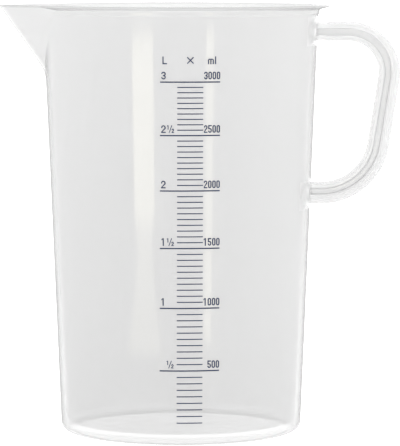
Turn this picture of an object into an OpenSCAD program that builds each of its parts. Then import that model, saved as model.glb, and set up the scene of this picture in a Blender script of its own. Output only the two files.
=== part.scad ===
// Three-litre measuring jug: a tapered moulded body with a flared rim, a V spout and a ribbed
// loop handle, and a scale printed on the outside of the wall.
// Origin: on the jug's axis at the table. +Z is up, the spout points to -X, the handle to +X and
// the scale faces -Y.

/* [Jug body] */
// Height from the table to the top of the rim
jug_h = 241; // [222:1:265]
// Outside diameter of the wall, carried down to the table
base_d = 135.6; // [126:0.2:144]
// Outside diameter of the wall, carried up to the top of the rim
mouth_d = 155.4; // [150:0.2:162]
// Wall thickness at the inside floor
base_wall = 3; // [2:0.1:4]
// Wall thickness at the rim
rim_wall = 1.2; // [1:0.1:2]
// Height of the inside floor above the table
floor_z = 5.5; // [4:0.1:8]
// Thickness of the floor
floor_t = 2.5; // [1.6:0.1:3.4]
// Width of the ring that the jug stands on
foot_w = 3; // [2:0.1:5]
// Radius of the rounded edge between the foot and the wall
base_round = 4.8; // [3:0.1:6.5]
// Radius of the fillet between the inside floor and the wall
floor_fillet = 3; // [1:0.1:6]

/* [Rim] */
// How far the rim flange stands out from the wall
rim_w = 7.3; // [4:0.1:11]
// Thickness of the flange at its edge
rim_edge_t = 1; // [0.6:0.1:1.4]
// Thickness of the flange where it leaves the wall
rim_root_t = 2.6; // [1.8:0.1:3.6]
// Height of the thicker band under the flange
band_h = 2.8; // [1.5:0.1:5]
// How far the band stands out from the wall
band_out = 0.7; // [0.3:0.1:1.2]
// Radius of the rounded inside edge of the mouth
mouth_round = 1.1; // [0.5:0.1:1.4]

/* [Spout] */
// How far the spout's point stands out from the wall at the rim, before its nose is rounded
spout_out = 27.7; // [22:0.1:34]
// Height of the spout from its root on the wall to the rim
spout_h = 42; // [32:0.5:54]
// Radius of the rounded keel under the spout
keel_r = 8; // [5:0.5:11]
// Wall thickness of the spout
spout_wall = 1.6; // [1.2:0.1:2.2]
// How far the spout's sides lie inside the wall's outer face at the rim
spout_tuck = 0.6; // [0.3:0.1:1]
// Width of the lip along the spout's edge
spout_lip_w = 1.6; // [0.8:0.1:3]

/* [Handle] */
// How far the handle stands out from the wall at the rim
handle_out = 46.4; // [38:0.1:56]
// Distance from the top of the rim down to the middle of the upper arm
upper_arm_drop = 14.4; // [14:0.2:28]
// Distance between the middles of the two arms
arm_spacing = 92; // [82:0.2:112]
// Length of the lower arm from the wall to its bend
lower_arm_l = 6.4; // [3:0.1:12]
// Thickness of the handle's grip from the face inside the loop to the face outside it
handle_t = 12.3; // [11:0.1:14]
// Width of the handle's two flanges
handle_w = 20; // [16:0.5:26]
// Radius of the upper bend, to the middle of the handle
upper_bend_r = 23.6; // [16:0.2:26]
// Radius of the lower bend, to the middle of the handle
lower_bend_r = 32.4; // [26:0.2:37]
// Thickness of the outer flange at its edges
outer_flange_t = 2; // [1.4:0.1:2.4]
// Height of the outer flange's rounded back on the grip and the lower arm
outer_crown = 3; // [1.5:0.1:3.6]
// Height of the outer flange's rounded back on the upper arm
upper_arm_crown = 1.7; // [1:0.1:3.6]
// Thickness of the inner flange at its edges
inner_flange_t = 2.3; // [1.6:0.1:2.8]
// Height of the inner flange's rounded back
inner_crown = 0.9; // [0.4:0.1:1.6]
// Thickness of the web between the flanges
web_t = 2.4; // [1.6:0.1:4]
// Radius at which the upper arm's flanges flare out into their root pad
upper_flare_r = 11; // [5:0.5:13]
// Radius at which the lower arm's flanges flare out into their root pad
lower_flare_r = 5; // [3:0.5:6]
// Width of the two root pads on the wall
pad_w = 61; // [56:1:76]
// Height of the two root pads
pad_h = 14.2; // [13:0.1:18]
// Thickness of the root pads
pad_t = 1; // [0.6:0.1:1.8]
// Radius of the root pads' corners
pad_round = 7; // [3:0.5:8]

/* [Printed scale] */
// Distance from the top of the rim down to the full line
full_line_drop = 40.6; // [30:0.2:60]
// Litres at the full line
full_litres = 3; // [1:1:3]
// Lines printed for each litre
lines_per_litre = 20; // [4:2:24]
// Turn of the scale's middle from the front towards the handle, in degrees
scale_turn = 3.9; // [0:0.1:15]
// Length of the half-litre lines
major_line_w = 32.9; // [32.2:0.1:38]
// Length of the lines between them, as a share of the half-litre lines
minor_line_share = 0.43; // [0.25:0.01:0.44]
// Thickness of the half-litre lines
major_line_t = 0.7; // [0.4:0.05:1]
// Thickness of the lines between them
minor_line_t = 0.55; // [0.3:0.05:0.7]
// Height of the numerals
numeral_h = 4.2; // [3.4:0.1:5]
// Width of a numeral in the litre column
litre_numeral_w = 2.5; // [2:0.1:2.7]
// Width of a numeral in the millilitre column
ml_numeral_w = 1.95; // [1.6:0.05:2]
// Width of the strokes that form the numerals
stroke_w = 0.65; // [0.4:0.05:0.7]
// Gap between a half-litre line and the numerals above it
numeral_gap = 1.1; // [0.6:0.1:1.8]
// Distance from the full line up to the foot of the unit symbols
heading_rise = 9.7; // [7:0.1:14]
// Thickness of the printed ink
ink_t = 0.15; // [0.1:0.05:0.3]

/* [Hidden] */
plastic = [0.93, 0.94, 0.94];
ink = [0.16, 0.18, 0.38];
$fn = 120;
overrun = 4;

// Body: both faces of the wall are cones
base_r = base_d / 2;
mouth_r = mouth_d / 2;
rim_r = mouth_r + rim_w;
wall_slope = (mouth_r - base_r) / jug_h;
wall_tilt = atan(wall_slope);
inner_base_r = base_r + wall_slope * floor_z - base_wall;
inner_slope = (mouth_r - rim_wall - inner_base_r) / (jug_h - floor_z);
inner_tilt = atan(inner_slope);
band_top_z = jug_h - rim_root_t;
band_z = band_top_z - band_h;
recess_z = floor_z - floor_t;
foot_r = outer_r(base_round) - base_round / cos(wall_tilt);

function outer_r(z) = base_r + wall_slope * z;
function inner_r(z) = inner_base_r + inner_slope * (z - floor_z);

// Points on an arc about a centre, from one angle to another
arc_steps = 8;
function arc_points(centre, r, from, to, steps = arc_steps) = [
    for (i = [0:steps])
        let (a = from + (to - from) * i / steps) centre + r * [cos(a), sin(a)]
];

// Spout: two flat sides and a round keel, all parallel to one sloping line
spout_reach = mouth_r + spout_out;
spout_root_z = jug_h - spout_h;
spout_root_r = outer_r(spout_root_z);
keel_angle = atan(spout_h / (spout_reach - spout_root_r));
side_reach = mouth_r - spout_tuck;
plan_angle = asin(side_reach / spout_reach);
side_angle = atan(tan(plan_angle) / sin(keel_angle));
keel_axis = keel_r / sin(side_angle);
spout_start_x = side_reach * sin(plan_angle);

// Handle: the middle line is an arm, a bend, a leaning grip, a bend and an arm; the grip touches
// both bends, which sets its lean
upper_arm_z = jug_h - upper_arm_drop;
lower_arm_z = upper_arm_z - arm_spacing;
upper_bend_x = mouth_r + handle_out - handle_t / 2 - upper_bend_r;
upper_bend_z = upper_arm_z - upper_bend_r;
lower_bend_x = outer_r(lower_arm_z) + lower_arm_l;
lower_bend_z = lower_arm_z + lower_bend_r;
bends_apart = [upper_bend_x - lower_bend_x, upper_bend_z - lower_bend_z];
grip_lean = atan(bends_apart[0] / bends_apart[1])
    - asin((lower_bend_r - upper_bend_r) / norm(bends_apart));
outer_flange_in = handle_t / 2 - outer_crown - outer_flange_t;
inner_flange_in = handle_t / 2 - inner_crown - inner_flange_t;
bend_steps = 14;

// Shapes of the numerals, as shares of their own height and width
glyph_steps = 4;
pitch_share = 0.6;
fraction_w_share = 0.92;
small_h_share = 0.56;
small_w_share = 0.34;
small_stroke_share = 0.7;
slash_share = 0.24;
cross_share = 1.15;
m_w_share = 1.3;
x_height_share = 0.72;
bowl_share = 0.62;
flag_share = 0.3;
foot_share = 0.36;

// How much of its full height the outer flange's back has on the upper arm
arm_back_share = upper_arm_crown / outer_crown;
// The handle's middle line: X, Z, the angle of the direction out of the loop, half of the
// flanges' width, which grows at the arms' roots, and the outer flange's share of a full back
handle_line = concat(
    [[0, upper_arm_z, 90, handle_w / 2 + upper_flare_r, arm_back_share]],
    arm_line(upper_arm_z, upper_flare_r, upper_bend_x, [0:bend_steps - 1], 90, arm_back_share),
    bend_line([upper_bend_x, upper_bend_z], upper_bend_r, 90, -grip_lean, arm_back_share),
    bend_line([lower_bend_x, lower_bend_z], lower_bend_r, -grip_lean, -90, 1),
    arm_line(lower_arm_z, lower_flare_r, lower_bend_x, [bend_steps - 1:-1:0], -90, 1),
    [[0, lower_arm_z, -90, handle_w / 2 + lower_flare_r, 1]]
);
// Where a flare's edge meets the middle of the root pad's thickness
function flare_start(z, r) = sqrt(pow(outer_r(z) + pad_t / 2, 2) - pow(handle_w / 2 + r, 2));
function flared_half_w(x, start, r) = handle_w / 2
    + (x < start + r ? r - sqrt(pow(r, 2) - pow(start + r - x, 2)) : 0);
function arm_line(z, r, bend_x, order, turn, back_share) =
    let (start = flare_start(z, r))
        [
            for (i = order)
                let (x = start + (bend_x - start) * i / bend_steps)
                    [x, z, turn, flared_half_w(x, start, r), back_share]
        ];
function bend_line(centre, r, from, to, start_share) = [
    for (i = [0:bend_steps])
        let (way = i / bend_steps, a = from + (to - from) * way)
            [
                centre[0] + r * cos(a), centre[1] + r * sin(a), a, handle_w / 2,
                start_share + (1 - start_share) * way
            ]
];
// The same line for sections of one width, with a back of one height
plain_line = [for (p = handle_line) [p[0], p[1], p[2], 1, 1]];
even_line = [for (p = handle_line) [p[0], p[1], p[2], p[3], 1]];

// Scale: the lines divide the volume between the floor and the full line evenly
full_line_z = jug_h - full_line_drop;
lines = full_litres * lines_per_litre;
first_line = 2;
lines_per_half = lines_per_litre / 2;
ml_per_litre = 1000;
ml_per_half = ml_per_litre / 2;
half_litres = full_litres * 2;
minor_line_w = major_line_w * minor_line_share;
column_left = -major_line_w / 2 + stroke_w;
fraction_left = column_left + litre_numeral_w + stroke_w;
ml_pitch = ml_numeral_w + stroke_w * pitch_share;
row_rise = major_line_t / 2 + numeral_gap;
fraction_w = numeral_h * fraction_w_share;
small_h = numeral_h * small_h_share;
small_w = fraction_w * small_w_share;
small_s = stroke_w * small_stroke_share;
cross_w = numeral_h * cross_share;
m_w = litre_numeral_w * m_w_share;
x_height = numeral_h * x_height_share;
small_l_x = major_line_w / 2 - ml_pitch - stroke_w;

function fill_r(share) = pow(
    pow(inner_base_r, 3) + share * (pow(inner_r(full_line_z), 3) - pow(inner_base_r, 3)), 1 / 3);
function fill_z(share) = floor_z + (fill_r(share) - inner_base_r) / inner_slope;
function line_z(i) = fill_z(i / lines);
function wall_turn(length, z) = length / outer_r(z) * 180 / PI;

// Half outline of the jug's outside, filled to the axis and run out through the mouth
module outside_outline() {
    polygon(concat(
        [[0, 0]],
        arc_points([foot_r, base_round], base_round, -90, -wall_tilt),
        [
            [outer_r(band_z), band_z],
            [outer_r(band_z) + band_out, band_z + band_out],
            [outer_r(band_top_z) + band_out, band_top_z]
        ],
        arc_points([rim_r - rim_edge_t / 2, jug_h - rim_edge_t / 2], rim_edge_t / 2, -90, 90),
        [[rim_r - rim_edge_t / 2, jug_h + overrun], [0, jug_h + overrun]]
    ));
}

// Half outline of the hollow, run out through the mouth
module hollow_outline() {
    fillet_z = floor_z + floor_fillet;
    fillet_r = inner_r(fillet_z) - floor_fillet / cos(inner_tilt);
    edge_r = inner_r(jug_h) + mouth_round;
    polygon(concat(
        [[0, floor_z]],
        arc_points([fillet_r, fillet_z], floor_fillet, -90, -inner_tilt),
        arc_points([edge_r, jug_h - mouth_round], mouth_round, 180, 90),
        [[edge_r, jug_h + overrun], [0, jug_h + overrun]]
    ));
}

// The part of the outside between two heights
module outside_slice(low, high) {
    intersection() {
        outside_outline();
        translate([0, low])
            square([rim_r + overrun, high - low]);
    }
}

module outside_body() {
    rotate_extrude()
        outside_outline();
}

// The wall's outer cone with the pads' thickness added
module pad_cone(extra) {
    cylinder(h = jug_h, r1 = base_r + extra, r2 = mouth_r + extra);
}

// Solid V with a round keel; side_move shifts its two sides and its keel outwards. Its outline
// lies square to the sloping line, with its own X pointing into the jug.
module spout_wedge(side_move) {
    r = keel_r + side_move;
    far = spout_reach;
    far_y = r / cos(side_angle) + (far - keel_axis) * tan(side_angle);
    length = (spout_h + overrun) / sin(keel_angle) + 2 * overrun;
    intersection() {
        translate([-spout_root_r, 0, spout_root_z])
            rotate([0, keel_angle - 90, 0])
            translate([0, 0, -overrun])
            linear_extrude(length)
            polygon(concat(
                arc_points([keel_axis, 0], r, 90 + side_angle, 270 - side_angle),
                [[far, -far_y], [far, far_y]]
            ));
        translate([-spout_reach - overrun, -spout_reach, 0])
            cube([spout_reach + overrun - spout_start_x, 2 * spout_reach, jug_h + overrun]);
    }
}

module below_rim() {
    translate([-spout_reach - overrun, -spout_reach, 0])
        cube([spout_reach + overrun, 2 * spout_reach, jug_h]);
}

module side_wall() {
    color(plastic)
        difference() {
            rotate_extrude()
                difference() {
                    outside_slice(floor_z, band_z);
                    hollow_outline();
                }
            spout_wedge(-spout_wall);
        }
}

module base_floor() {
    color(plastic)
        rotate_extrude()
        outside_slice(recess_z, floor_z);
}

module foot_ring() {
    color(plastic)
        rotate_extrude()
        difference() {
            outside_slice(0, recess_z);
            translate([-overrun, -overrun])
                square([foot_r - foot_w + overrun, recess_z + 2 * overrun]);
        }
}

module rim_flange() {
    color(plastic)
        difference() {
            rotate_extrude()
                difference() {
                    outside_slice(band_z, jug_h);
                    hollow_outline();
                }
            spout_wedge(-spout_wall);
        }
}

module pouring_spout() {
    color(plastic)
        difference() {
            intersection() {
                spout_wedge(0);
                below_rim();
            }
            spout_wedge(-spout_wall);
            outside_body();
        }
}

module spout_lip() {
    color(plastic)
        difference() {
            intersection() {
                spout_wedge(spout_lip_w);
                below_rim();
                translate([-spout_reach - overrun, -spout_reach, jug_h - rim_edge_t])
                    cube([spout_reach + overrun, 2 * spout_reach, rim_edge_t]);
            }
            spout_wedge(0);
            outside_body();
        }
}

// Pad on the wall's outside, with rounded corners, its middle at the given height
module root_pad(z) {
    r = min(pad_round, pad_h / 2);
    x = pad_w / 2 - r;
    y = pad_h / 2 - r;
    intersection() {
        difference() {
            pad_cone(pad_t);
            pad_cone(0);
        }
        translate([0, 0, z])
            rotate([90, 0, 90])
            linear_extrude(rim_r)
            polygon(concat(
                arc_points([x, y], r, 0, 90),
                arc_points([-x, y], r, 90, 180),
                arc_points([-x, -y], r, 180, 270),
                arc_points([x, -y], r, 270, 360)
            ));
    }
}

module upper_handle_root() {
    color(plastic)
        root_pad(upper_arm_z);
}

module lower_handle_root() {
    color(plastic)
        root_pad(lower_arm_z);
}

// Solid that carries a cross-section round a line, from axis to axis. Each point of the section
// is its distance out of the loop, its place across, which the line's width multiplies, and the
// rise of a rounded back, which the line's share of a back multiplies.
module along_handle(line, section) {
    count = len(section);
    rings = len(line);
    polyhedron(
        points = [
            for (p = line, q = section)
                let (out = q[0] + q[2] * p[4])
                    [p[0] + out * cos(p[2]), q[1] * p[3], p[1] + out * sin(p[2])]
        ],
        faces = concat(
            [for (j = [1:count - 2]) [0, j, j + 1]],
            [
                for (i = [0:rings - 2], j = [0:count - 1], side = [0, 1])
                    let (a = i * count, b = a + count, k = (j + 1) % count)
                        side == 0 ? [a + j, b + j, b + k] : [a + j, b + k, a + k]
            ],
            [for (j = [1:count - 2]) [for (v = [0, j + 1, j]) (rings - 1) * count + v]]
        )
    );
}

// Flange section with a rounded back: a flat face, two edges and a crown, with its places across
// as shares of half the width. way is 1 where the back faces out of the loop and -1 where it
// faces into it.
function flange_section(flat, t, crown, way) =
    let (
        half_w = handle_w / 2,
        back_r = (pow(half_w, 2) + pow(crown, 2)) / (2 * crown),
        half_turn = asin(half_w / back_r),
        back = arc_points([crown - back_r, 0], back_r, -half_turn, half_turn),
        outline = concat(
            [[flat, half_w, 0], [flat, -half_w, 0]],
            [for (q = back) [flat + t, q[1], q[0]]]
        ),
        last = len(outline) - 1
    )
        [
            for (i = [0:last])
                let (q = outline[way > 0 ? i : last - i])
                    [way * q[0], q[1] / half_w, way * q[2]]
        ];

module handle_outer_flange() {
    color(plastic)
        difference() {
            along_handle(
                handle_line,
                flange_section(outer_flange_in, outer_flange_t, outer_crown, 1)
            );
            pad_cone(pad_t);
        }
}

module handle_inner_flange() {
    color(plastic)
        difference() {
            along_handle(
                even_line,
                flange_section(inner_flange_in, inner_flange_t, inner_crown, -1)
            );
            pad_cone(pad_t);
        }
}

module handle_web() {
    color(plastic)
        difference() {
            along_handle(plain_line, [
                [-inner_flange_in, web_t / 2, 0],
                [-inner_flange_in, -web_t / 2, 0],
                [outer_flange_in, -web_t / 2, 0],
                [outer_flange_in, web_t / 2, 0]
            ]);
            pad_cone(pad_t);
        }
}

// One line of ink that follows the wall
module printed_line(z, length, t) {
    half_turn = wall_turn(length / 2, z);
    low_r = outer_r(z - t / 2);
    high_r = outer_r(z + t / 2);
    rotate([0, 0, scale_turn - 90 - half_turn])
        rotate_extrude(angle = 2 * half_turn)
        polygon([
            [low_r, z - t / 2],
            [low_r + ink_t, z - t / 2],
            [high_r + ink_t, z + t / 2],
            [high_r, z + t / 2]
        ]);
}

// Lays a flat shape on the wall, with its own X along the wall and its Y up
module on_wall(along, z) {
    rotate([0, 0, scale_turn - 90 + wall_turn(along, z)])
        translate([outer_r(z), 0, z])
        rotate([0, wall_tilt, 0])
        rotate([90, 0, 90])
        linear_extrude(ink_t)
        children();
}

// Upright shape with round ends
module stadium(w, h) {
    r = min(w, h) / 2;
    polygon(concat(
        arc_points([w - r, h - r], r, 0, 90, glyph_steps),
        arc_points([r, h - r], r, 90, 180, glyph_steps),
        arc_points([r, r], r, 180, 270, glyph_steps),
        arc_points([w - r, r], r, 270, 360, glyph_steps)
    ));
}

module loop(w, h, s) {
    difference() {
        stadium(w, h);
        translate([s, s])
            stadium(w - 2 * s, h - 2 * s);
    }
}

module digit_one(w, h, s) {
    stem_x = (w - s) / 2;
    flag = h * flag_share;
    translate([stem_x, 0])
        square([s, h]);
    polygon([
        [stem_x, h],
        [stem_x, h - s],
        [stem_x - flag / 2, h - flag],
        [stem_x - flag / 2, h - flag + s]
    ]);
}

module digit_two(w, h, s) {
    bowl = h * bowl_share;
    r = min(w, bowl) / 2;
    difference() {
        translate([0, h - bowl])
            loop(w, bowl, s);
        square([w, h - r]);
    }
    translate([0, h - r - s / 2])
        square([s, s / 2]);
    polygon([[0, 0], [w, h - r - s], [w, h - r], [w - s, h - r], [w - s, h - r - s / 2], [0, s]]);
    square([w, s]);
}

module digit_three(w, h, s) {
    bowl = (h + s) / 2;
    for (z = [0, h - bowl])
        translate([0, z])
            loop(w, bowl, s);
}

module digit_five(w, h, s) {
    bowl = h * bowl_share;
    loop(w, bowl, s);
    translate([0, bowl - s])
        square([s, h - bowl + s]);
    translate([0, h - s])
        square([w, s]);
}

// The opening on the left of a three's and a five's bowls
module left_gap(w, low, high) {
    translate([-w, low])
        square([w + w * foot_share, high - low]);
}

module digit(value, w, h, s) {
    if (value == 0) loop(w, h, s);
    if (value == 1) digit_one(w, h, s);
    if (value == 2) digit_two(w, h, s);
    if (value == 3)
        difference() {
            digit_three(w, h, s);
            left_gap(w, h * flag_share, h - h * flag_share);
        }
    if (value == 5)
        difference() {
            digit_five(w, h, s);
            left_gap(w, h * flag_share, h * bowl_share - s);
        }
}

module half_sign() {
    translate([0, numeral_h - small_h])
        digit(1, small_w, small_h, small_s);
    translate([fraction_w - small_w, 0])
        digit(2, small_w, small_h, small_s);
    slash_x = fraction_w * slash_share;
    polygon([
        [slash_x, 0],
        [slash_x + small_s, 0],
        [fraction_w - slash_x, numeral_h],
        [fraction_w - slash_x - small_s, numeral_h]
    ]);
}

module letter_l_capital(w, h, s) {
    square([s, h]);
    square([w, s]);
}

module letter_m(w, h, s) {
    arch_w = (w + s) / 2;
    for (x = [0, w - arch_w])
        translate([x, -arch_w])
            difference() {
                loop(arch_w, h + arch_w, s);
                square([arch_w, arch_w]);
            }
}

module half_litre_lines() {
    color(ink)
        for (i = [1:half_litres])
            printed_line(line_z(i * lines_per_half), major_line_w, major_line_t);
}

module fifty_ml_lines() {
    color(ink)
        for (i = [first_line:lines])
            if (i % lines_per_half != 0)
                printed_line(line_z(i), minor_line_w, minor_line_t);
}

module litre_numerals() {
    color(ink)
        for (i = [1:half_litres]) {
            z = line_z(i * lines_per_half) + row_rise;
            if (i > 1)
                on_wall(column_left, z)
                    digit(floor(i / 2), litre_numeral_w, numeral_h, stroke_w);
            if (i % 2 == 1)
                on_wall(fraction_left, z)
                    half_sign();
        }
}

module millilitre_numerals() {
    color(ink)
        for (i = [1:half_litres]) {
            value = i * ml_per_half;
            digits = value < ml_per_litre ? 3 : 4;
            for (place = [0:digits - 1])
                on_wall(major_line_w / 2 - ml_pitch * place - ml_numeral_w,
                        line_z(i * lines_per_half) + row_rise)
                    digit(floor(value / pow(10, place)) % 10, ml_numeral_w, numeral_h, stroke_w);
        }
}

module unit_symbols() {
    z = full_line_z + heading_rise;
    color(ink) {
        on_wall(column_left + stroke_w, z)
            letter_l_capital(litre_numeral_w, numeral_h, stroke_w);
        on_wall(-cross_w / 2, z)
            translate([cross_w / 2, numeral_h / 2])
            for (turn = [-45, 45])
                rotate(turn)
                    translate([-cross_w / 2, -stroke_w / 2])
                    square([cross_w, stroke_w]);
        on_wall(small_l_x - m_w - stroke_w, z)
            letter_m(m_w, x_height, stroke_w);
        on_wall(small_l_x, z)
            square([stroke_w, numeral_h]);
    }
}

side_wall();
base_floor();
foot_ring();
rim_flange();
pouring_spout();
spout_lip();
upper_handle_root();
lower_handle_root();
handle_outer_flange();
handle_inner_flange();
handle_web();
half_litre_lines();
fifty_ml_lines();
litre_numerals();
millilitre_numerals();
unit_symbols();
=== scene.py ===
"""Measuring jug: one milky moulding with a V spout and a ribbed handle, and its printed scale."""

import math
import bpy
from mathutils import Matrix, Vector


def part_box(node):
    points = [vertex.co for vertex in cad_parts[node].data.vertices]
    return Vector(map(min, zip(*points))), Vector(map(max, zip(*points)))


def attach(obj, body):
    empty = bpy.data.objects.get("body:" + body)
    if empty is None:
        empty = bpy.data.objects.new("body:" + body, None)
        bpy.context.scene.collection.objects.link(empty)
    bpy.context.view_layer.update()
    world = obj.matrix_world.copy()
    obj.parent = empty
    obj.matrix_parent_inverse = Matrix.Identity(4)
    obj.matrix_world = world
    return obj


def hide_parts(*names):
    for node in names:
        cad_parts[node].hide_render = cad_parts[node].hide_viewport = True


bl_info = {
    "name": "Measuring jug",
    "version": (1, 0, 0),
    "blender": (4, 5, 0),
    "location": "3D View > Sidebar > Measuring jug",
    "description": "Builds the jug's moulded body and handle, its printed scale and a studio",
    "category": "Mesh",
}

import bpy
import numpy as np
from bpy.props import FloatProperty, FloatVectorProperty, PointerProperty

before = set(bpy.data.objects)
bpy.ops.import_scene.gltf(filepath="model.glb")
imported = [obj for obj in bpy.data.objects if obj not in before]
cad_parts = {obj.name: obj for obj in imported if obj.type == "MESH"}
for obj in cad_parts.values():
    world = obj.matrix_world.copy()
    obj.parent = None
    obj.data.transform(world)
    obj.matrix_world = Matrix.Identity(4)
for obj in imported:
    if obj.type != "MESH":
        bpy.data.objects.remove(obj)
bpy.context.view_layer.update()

FOOT_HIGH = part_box("foot_ring")[1]
RIM_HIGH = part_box("rim_flange")[1]


def length(label, words, size):
    """One length that a user may change, in metres."""
    return FloatProperty(
        name=label,
        description=words,
        default=size,
        min=0.0,
        precision=4,
        unit="LENGTH",
        subtype="DISTANCE",
    )


def share(label, words, size):
    """One share between nothing and all."""
    return FloatProperty(name=label, description=words, default=size, min=0.0, max=1.0)


def colour(label, words, value):
    """One colour, as red, green and blue."""
    return FloatVectorProperty(
        name=label, description=words, default=value, min=0.0, max=1.0, size=3, subtype="COLOR"
    )


def angle(label, words, degrees):
    """One angle, given in degrees."""
    return FloatProperty(
        name=label, description=words, default=math.radians(degrees), subtype="ANGLE"
    )


def level(label, words, size):
    """One brightness, where 1 is a white wall in plain light."""
    return FloatProperty(name=label, description=words, default=size, min=0.0)


class JugBodySizes(bpy.types.PropertyGroup):
    """Sizes of the tapered body and its rim."""

    height: length("Height", "Table to the top of the rim", RIM_HIGH[2])
    base_radius: length("Base radius", "Wall's outer radius, carried down to the table", 0.0678)
    mouth_radius: length("Mouth radius", "Wall's outer radius, carried up to the rim", 0.0777)
    base_wall: length("Base wall", "Wall thickness at the inside floor", 0.003)
    rim_wall: length("Rim wall", "Wall thickness at the rim", 0.0012)
    floor_height: length("Floor height", "Inside floor above the table", 0.0055)
    recess: length("Recess", "Height of the raised underside", FOOT_HIGH[2])
    foot_width: length("Foot width", "Width of the ring that the jug stands on", 0.003)
    base_round: length("Base round", "Rounded edge between foot and wall", 0.0048)
    floor_fillet: length("Floor fillet", "Fillet between inside floor and wall", 0.003)
    rim_width: length("Rim width", "How far the flange stands out from the wall", 0.0073)
    rim_edge: length("Rim edge", "Thickness of the flange at its edge", 0.001)
    rim_root: length("Rim root", "Thickness of the flange at the wall", 0.0026)
    band_height: length("Band height", "Height of the thicker band under the flange", 0.0028)
    band_out: length("Band out", "How far the band stands out from the wall", 0.0007)
    mouth_round: length("Mouth round", "Rounded inside edge of the mouth", 0.0011)


class JugSpoutSizes(bpy.types.PropertyGroup):
    """Sizes of the V spout."""

    out: length("Out", "How far the V's point stands out from the wall at the rim", 0.0277)
    height: length("Height", "Root on the wall up to the rim", 0.042)
    keel_radius: length("Keel radius", "Radius of the rounded keel", 0.008)
    wall: length("Wall", "Wall thickness of the spout", 0.0016)
    tuck: length("Tuck", "How far the sides lie inside the wall's face at the rim", 0.0006)
    lip: length("Lip", "Width of the lip along the spout's edge", 0.0016)
    blend: length("Blend", "Softness of the crease between spout and wall", 0.0018)


class JugHandleSizes(bpy.types.PropertyGroup):
    """Sizes of the loop handle and of its two root pads."""

    out: length("Out", "How far the handle stands out from the wall at the rim", 0.0464)
    arm_drop: length("Arm drop", "Rim down to the middle of the upper arm", 0.0144)
    arm_spacing: length("Arm spacing", "Between the middles of the two arms", 0.092)
    lower_arm: length("Lower arm", "Lower arm from the wall to its bend", 0.0064)
    thickness: length("Thickness", "Grip from its face in the loop to the outer face", 0.0123)
    width: length("Width", "Width of the two flanges", 0.020)
    upper_bend: length("Upper bend", "Radius of the upper bend", 0.0236)
    lower_bend: length("Lower bend", "Radius of the lower bend", 0.0324)
    outer_edge: length("Outer edge", "Outer flange's thickness at its edges", 0.002)
    outer_crown: length("Outer crown", "Height of the outer flange's rounded back", 0.003)
    arm_crown: length("Arm crown", "Height of that back on the upper arm", 0.0017)
    inner_edge: length("Inner edge", "Inner flange's thickness at its edges", 0.0023)
    inner_crown: length("Inner crown", "Height of the inner flange's rounded back", 0.0009)
    web: length("Web", "Thickness of the web between the flanges", 0.0024)
    edge_round: length("Edge round", "Rounding of the flanges' edges", 0.0006)
    web_fillet: length("Web fillet", "Fillet where the web meets a flange", 0.0008)
    upper_flare: length("Upper flare", "Fillet of the upper arm into its root", 0.011)
    lower_flare: length("Lower flare", "Fillet of the lower arm into its root", 0.005)
    pad_width: length("Pad width", "Width of the root pads", 0.061)
    pad_height: length("Pad height", "Height of the root pads", 0.0142)
    pad_thickness: length("Pad thickness", "Thickness of the root pads", 0.001)
    pad_round: length("Pad round", "Rounded corners of the root pads", 0.007)


class JugFinishes(bpy.types.PropertyGroup):
    """Colours and finish of the plastic and the ink; the darker colours of the handle's web and of
    the rim's edge are painted shade.
    """

    plastic: colour("Plastic", "Colour of the milky plastic at the rim", (0.997, 0.997, 0.997))
    low_plastic: colour("Low plastic", "Its colour at the table", (0.997, 0.997, 0.997))
    # Painted shade: the web is darker than the flanges to stand in for the shade in the handle's
    # recessed channel
    web_painted_shade: colour("Web plastic", "Colour between the handle's flanges", (0.77, 0.77, 0.77))
    thick_plastic: colour("Thick plastic", "Colour of the handle's flanges", (0.985, 0.985, 0.985))
    base_plastic: colour("Base plastic", "Colour of the floor and underside", (0.995, 0.995, 0.985))
    foot_plastic: colour("Foot plastic", "Colour of the foot and base round", (0.96, 0.96, 0.96))
    foot_clear: share("Foot clear", "Share of light that passes the foot's faces unscattered", 0.46)
    # Painted shade: the rim's edge and the foot's lowest edge are darker to stand in for the shade
    # under the flange and where the jug meets the table
    rim_and_foot_painted_shade: colour("Rim plastic", "Colour of the rim's edge", (0.8, 0.8, 0.8))
    rim_clear: share("Rim clear", "Share of light that passes the rim's edge unscattered", 0.4)
    clear: share("Clear", "Share of light that passes each face unscattered", 0.55)
    thick_clear: share("Thick clear", "That share in the handle's flanges", 0.48)
    web_clear: share("Web clear", "That share between the handle's flanges", 0.5)
    base_clear: share("Base clear", "That share in the floor and underside", 0.85)
    edge_start: share("Edge start", "Slant from which a face shows its dark glassy edge", 0.7)
    edge_tint: colour("Edge tint", "What such an edge lets through", (0.5, 0.5, 0.5))
    thick_edge_tint: colour("Thick edge tint", "That in flanges and foot", (0.75, 0.75, 0.75))
    glow: share("Glow", "Share of the scattered light that comes out behind", 0.5)
    roughness: share("Roughness", "Roughness of the moulded face", 0.05)
    gloss: share("Gloss", "Share of light that a face mirrors straight on", 0.04)
    edge_gloss: share("Edge gloss", "Share of light that its slanting edges mirror", 0.1)
    ink: colour("Ink", "Colour of the printed scale", (0.008, 0.02, 0.07))


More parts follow.
